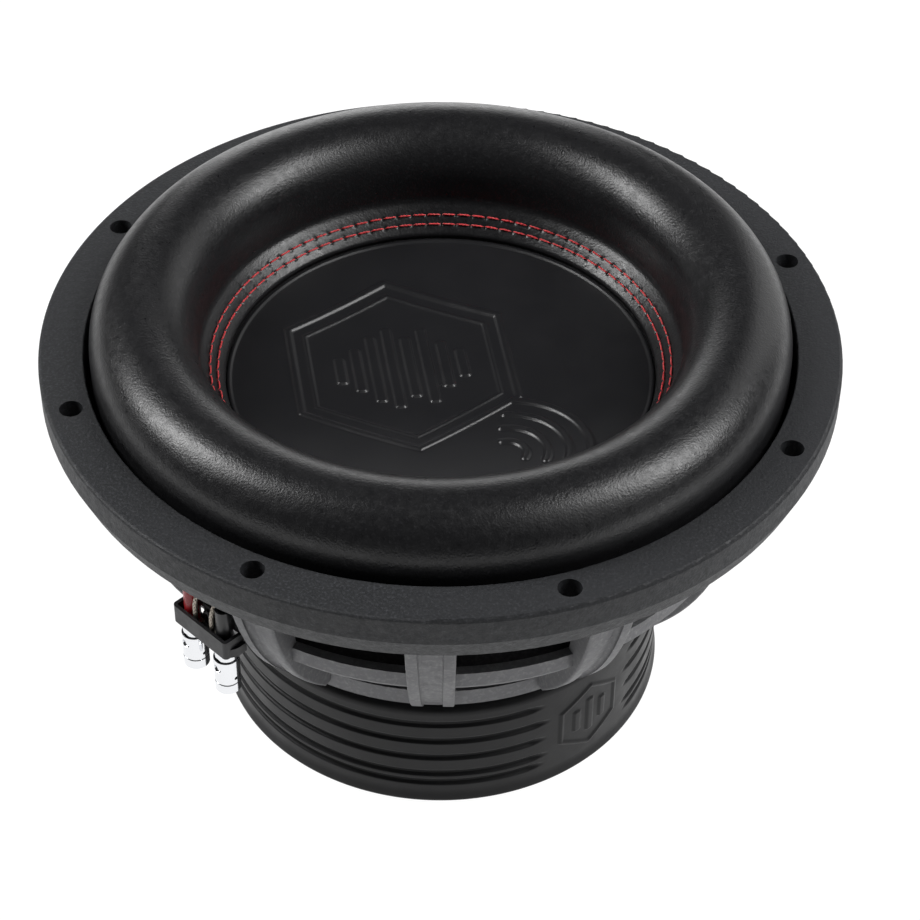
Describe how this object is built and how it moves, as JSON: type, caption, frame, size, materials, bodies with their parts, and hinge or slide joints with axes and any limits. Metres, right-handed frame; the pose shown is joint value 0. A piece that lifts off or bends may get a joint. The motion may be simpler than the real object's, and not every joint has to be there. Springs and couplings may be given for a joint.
{
  "type": "car subwoofer driver",
  "caption": "Round car subwoofer driver with high-roll surround, dished cap, sewn cone edge, cast spoked basket, booted magnet and push terminals.",
  "frame": {"origin": "centre of the flange's rear seating plane, on the cone axis", "axes": "+Z out of the cone along its travel; -Y towards the viewer, with the terminal block front left"},
  "size_m": [0.3206, 0.3206, 0.1999],
  "materials": {
    "trim_rubber": "matte fine grain",
    "surround_foam": "satin fine leather grain",
    "cone_paper": "matt pressed pulp",
    "cap_plastic": "satin",
    "thread_red": "twisted polyester thread",
    "coil_former": "bare",
    "coil_wire": "enamelled copper",
    "spider_cloth": "resin-dipped open weave",
    "cast_basket": "fine textured grey paint on die casting",
    "plated_steel": "dark plated",
    "ferrite": "ground ceramic magnet",
    "copper_ring": "bare copper",
    "boot_rubber": "satin moulded",
    "black_steel": "black oxide",
    "terminal_plastic": "moulded",
    "chrome": "bright plated",
    "spring_steel": "bare",
    "red_plastic": "glossy",
    "black_plastic": "glossy",
    "tinned_brass": "tinned",
    "braid": "tinned copper tinsel braid"
  },
  "bodies": {
    "frame": {"trim_ring": "trim_rubber", "surround": "surround_foam", "spider": "spider_cloth", "basket": "cast_basket", "top_plate": "plated_steel", "magnet_front": "ferrite", "magnet_rear": "ferrite", "yoke_and_pole": "plated_steel", "shorting_ring": "copper_ring", "pole_vent_mesh": "black_steel", "magnet_boot": "boot_rubber", "plate_screws": "black_steel", "terminal_block": "terminal_plastic", "terminal_block_screw": "black_steel", "terminal_posts": "chrome", "terminal_rivets": "chrome", "solder_tags": "tinned_brass", "polarity_ring_red": "red_plastic", "polarity_ring_black": "black_plastic", "terminal_spring_left": "spring_steel", "tinsel_lead_left": "braid", "terminal_spring_right": "spring_steel", "tinsel_lead_right": "braid"},
    "cone_assembly": {"cone": "cone_paper", "dust_cap": "cap_plastic", "stitching_outer_row": "thread_red", "stitching_inner_row": "thread_red", "voice_coil_former": "coil_former", "voice_coil_winding": "coil_wire"},
    "push_sleeve_left": {"terminal_sleeve_left": "chrome"},
    "push_sleeve_right": {"terminal_sleeve_right": "chrome"}
  },
  "joints": [
    {"name": "cone_travel", "type": "slide", "parent": "frame", "child": "cone_assembly", "axis": [0, 0, 1], "range_m": [-0.018, 0.018], "stiffness_N_per_m": 4500, "deforming": ["surround", "spider", "tinsel_lead_left", "tinsel_lead_right"]},
    {"name": "push_left", "type": "slide", "parent": "frame", "child": "push_sleeve_left", "axis": [0, 0, 1], "range_m": [0, 0.0036], "stiffness_N_per_m": 900, "springref_m": -0.002, "deforming": ["terminal_spring_left"]},
    {"name": "push_right", "type": "slide", "parent": "frame", "child": "push_sleeve_right", "axis": [0, 0, 1], "range_m": [0, 0.0036], "stiffness_N_per_m": 900, "springref_m": -0.002, "deforming": ["terminal_spring_right"]}
  ]
}
